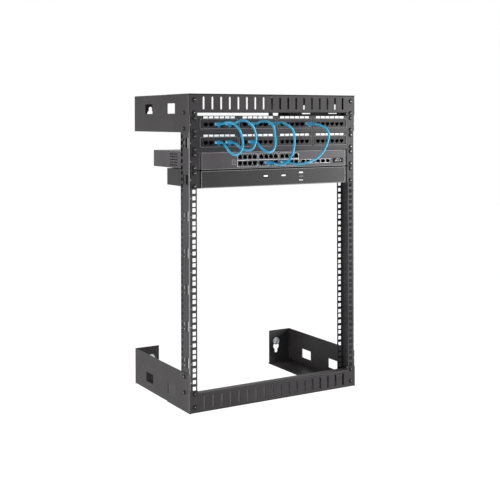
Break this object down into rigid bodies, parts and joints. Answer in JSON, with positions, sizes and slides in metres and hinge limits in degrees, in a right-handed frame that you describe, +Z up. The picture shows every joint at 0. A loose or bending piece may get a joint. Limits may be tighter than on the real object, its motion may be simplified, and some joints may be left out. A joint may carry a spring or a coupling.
{
  "type": "wall mount rack",
  "caption": "Open wall rack of folded brackets and square-holed rails, with patch panels, a network switch, a console unit and looped patch cords in its top units",
  "frame": {"origin": "on the back of the lower left wall flange (left as seen from the front), on its keyhole's middle line and 11.5 mm above the rack's lower edge: the wall plane is Y = 0", "axes": "+Z up, +Y into the wall, +X to the right as seen from the front"},
  "size_m": [0.4987, 0.3967, 0.7731],
  "materials": {
    "black_coat": "fine textured black powder coat on folded steel",
    "black_screw": "black zinc plated screw, satin",
    "nut_steel": "zinc plated cage nut",
    "bolt_steel": "galvanised hexagon bolt and washer",
    "panel_coat": "satin black coat on a steel panel",
    "module_plastic": "moulded black plastic",
    "label_strip": "clear strip over white label fields",
    "board_green": "green circuit board",
    "terminal_plastic": "black terminal block",
    "switch_coat": "warm dark grey satin coat",
    "socket_shield": "dark shielded socket block",
    "cage_steel": "plated sheet steel",
    "inlet_plastic": "black moulded inlet",
    "console_coat": "dark satin coat",
    "button_plastic": "pale translucent button",
    "cord_blue": "blue flexible jacket",
    "plug_blue": "blue moulded boot and clear plug"
  },
  "bodies": {
    "root": {"upper_bracket": "black_coat", "lower_bracket": "black_coat", "left_rail": "black_coat", "right_rail": "black_coat", "side_screws": "black_screw", "tab_screws": "black_screw", "unit_screws": "black_screw", "left_cage_nuts": "nut_steel", "right_cage_nuts": "nut_steel", "wall_bolts": "bolt_steel", "wall_washers": "bolt_steel", "switch_case": "switch_coat", "switch_front": "switch_coat", "switch_ears": "black_coat", "switch_sockets": "socket_shield", "switch_cages": "cage_steel", "switch_serial_port": "cage_steel", "switch_inlet": "inlet_plastic", "console_case": "console_coat", "console_front": "console_coat", "console_ears": "black_coat", "console_buttons": "button_plastic", "console_rear_ports": "cage_steel", "panel_1_plate": "panel_coat", "panel_1_modules": "module_plastic", "panel_1_labels": "label_strip", "panel_1_boards": "board_green", "panel_1_blocks": "terminal_plastic", "panel_2_plate": "panel_coat", "panel_2_modules": "module_plastic", "panel_2_labels": "label_strip", "panel_2_boards": "board_green", "panel_2_blocks": "terminal_plastic", "cord_1": "cord_blue", "plugs_1": "plug_blue", "cord_2": "cord_blue", "plugs_2": "plug_blue", "cord_3": "cord_blue", "plugs_3": "plug_blue", "cord_4": "cord_blue", "plugs_4": "plug_blue", "cord_5": "cord_blue", "plugs_5": "plug_blue"}
  },
  "joints": []
}
